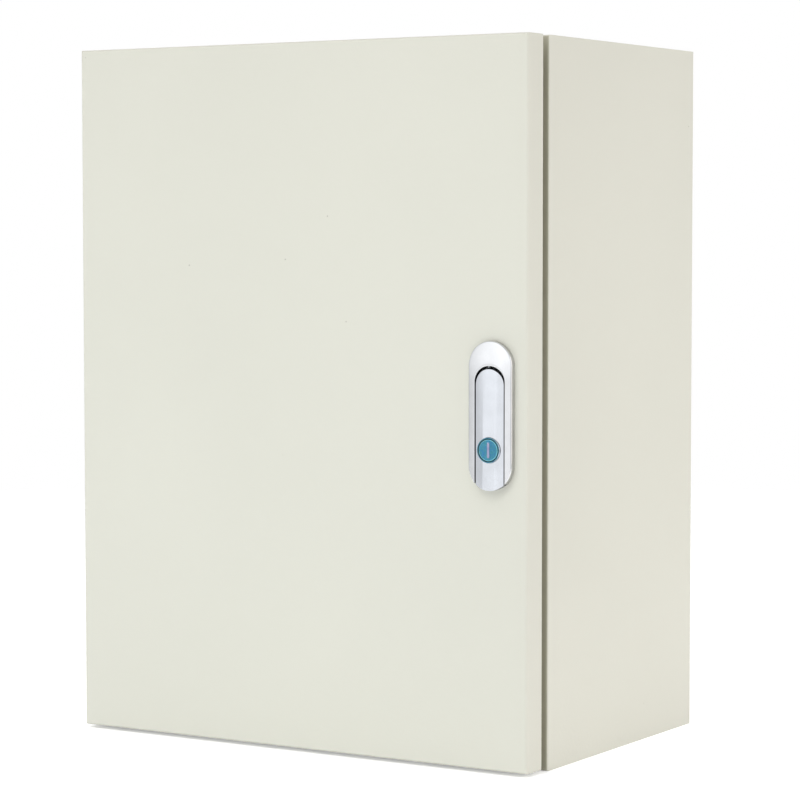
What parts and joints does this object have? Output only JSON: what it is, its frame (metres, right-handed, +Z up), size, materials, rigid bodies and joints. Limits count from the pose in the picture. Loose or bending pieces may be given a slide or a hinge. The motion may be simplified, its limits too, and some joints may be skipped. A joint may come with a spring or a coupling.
{
  "type": "steel wall enclosure",
  "caption": "Wall-mounted sheet-steel enclosure with a left-hinged door, a flush lift-lever lock with a key button, an inner mounting plate and a bottom gland plate.",
  "frame": {"origin": "middle of the four wall fixing holes, on the rear face that lies on the wall", "axes": "+X to the right seen from the front, +Y into the wall, +Z up"},
  "size_m": [0.3, 0.2052, 0.4],
  "materials": {
    "powder_coat": "cream beige semi-gloss powder coat",
    "galvanised": "galvanised sheet",
    "zinc_plate": "bright zinc plating",
    "steel": "plain turned steel",
    "spring_steel": "oiled spring steel",
    "brass": "plain brass",
    "black_rubber": "matt black rubber",
    "grey_foam": "dark foamed sealing strip",
    "chrome": "satin chrome plating on cast zinc",
    "button_chrome": "bright chrome ring",
    "plug_blue": "metal plug under a blue protective film"
  },
  "bodies": {
    "enclosure": {"body_wrap": "powder_coat", "back_panel": "powder_coat", "plate_studs": "zinc_plate", "mounting_plate": "galvanised", "plate_washers": "zinc_plate", "plate_nuts": "zinc_plate", "gland_seal": "black_rubber", "gland_plate": "galvanised", "gland_screws": "zinc_plate", "earth_stud": "brass", "earth_washer": "brass", "earth_nut": "brass", "hinge_leaf_body_upper": "zinc_plate", "hinge_leaf_body_lower": "zinc_plate"},
    "door": {"door_pan": "powder_coat", "door_gasket": "grey_foam", "door_earth_stud": "zinc_plate", "door_earth_nut": "zinc_plate", "hinge_leaf_door_upper": "zinc_plate", "hinge_leaf_door_lower": "zinc_plate", "hinge_pin_upper": "steel", "hinge_pin_lower": "steel", "hinge_clip_upper": "spring_steel", "hinge_clip_lower": "spring_steel", "lock_housing": "chrome", "lock_bracket": "zinc_plate", "lock_nut": "zinc_plate", "lever_spring": "spring_steel"},
    "lever": {"lock_lever": "chrome", "lever_pins": "steel", "button_spring": "spring_steel"},
    "button": {"lock_button": "button_chrome"},
    "key_plug": {"key_plug": "plug_blue"},
    "spindle": {"lock_spindle": "steel", "lock_cam": "zinc_plate", "cam_washer": "zinc_plate", "cam_nut": "zinc_plate"}
  },
  "joints": [
    {"name": "door_swing", "type": "hinge", "parent": "enclosure", "child": "door", "pos_m": [-0.143, -0.1925, 0], "axis": [0, 0, -1], "range_deg": [0, 110]},
    {"name": "lever_lift", "type": "hinge", "parent": "door", "child": "lever", "pos_m": [0.1288, -0.199, 0.0137], "axis": [-1, 0, 0], "range_deg": [0, 30]},
    {"name": "cam_turn", "type": "hinge", "parent": "door", "child": "spindle", "pos_m": [0.1288, -0.19, 0.0137], "axis": [0, -1, 0], "range_deg": [0, 90]},
    {"name": "button_press", "type": "slide", "parent": "lever", "child": "button", "axis": [0, 1, 0], "range_m": [0, 0.0015], "stiffness_N_per_m": 900, "springref_m": -0.001, "deforming": ["button_spring"]},
    {"name": "key_turn", "type": "hinge", "parent": "button", "child": "key_plug", "pos_m": [0.1288, -0.2052, -0.0231], "axis": [0, 1, 0], "range_deg": [0, 90]}
  ]
}
